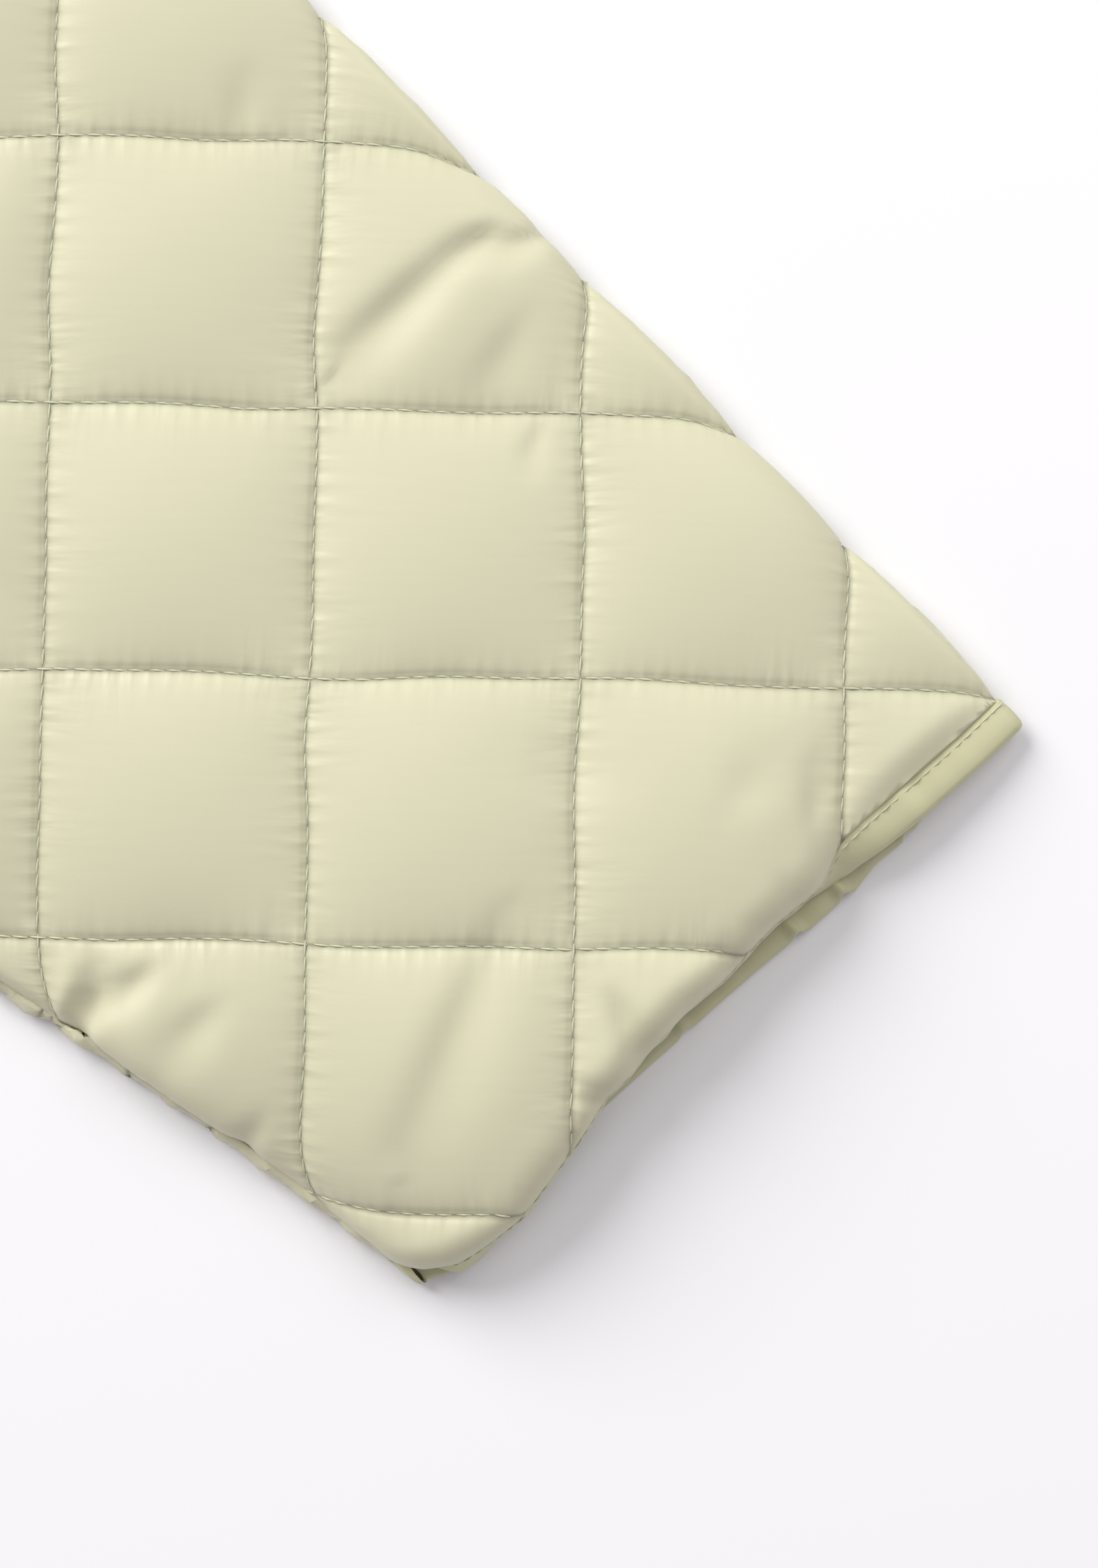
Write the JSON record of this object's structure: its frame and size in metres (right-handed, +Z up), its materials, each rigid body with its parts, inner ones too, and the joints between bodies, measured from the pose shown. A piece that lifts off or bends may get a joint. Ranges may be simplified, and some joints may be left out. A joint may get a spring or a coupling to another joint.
{
  "type": "quilted jacket",
  "caption": "Collarless quilted jacket laid flat on its back, front up, with bound edges, open cuffs and five press studs.",
  "frame": {"origin": "middle of the bounding box at the surface that the garment lies on", "axes": "+Z up off the surface, +Y towards the neck, +X towards the wearer's left sleeve"},
  "size_m": [1.4162, 0.64, 0.0172],
  "materials": {
    "shell": "satin woven polyester, pale sage green, quilted",
    "binding": "satin woven polyester, pale sage green, plain",
    "stud": "satin"
  },
  "bodies": {
    "root": {"back": "shell", "front_left": "shell", "front_right": "shell", "sleeve_left": "shell", "sleeve_right": "shell", "cuff_binding_left": "binding", "cuff_binding_right": "binding", "hem_binding_back": "binding", "hem_binding_front_left": "binding", "hem_binding_front_right": "binding", "front_binding_left": "binding", "front_binding_right": "binding", "neck_binding_back": "binding", "neck_binding_front_left": "binding", "neck_binding_front_right": "binding", "stud_cap_1": "stud", "stud_cap_2": "stud", "stud_cap_3": "stud", "stud_cap_4": "stud", "stud_cap_5": "stud"}
  },
  "joints": []
}
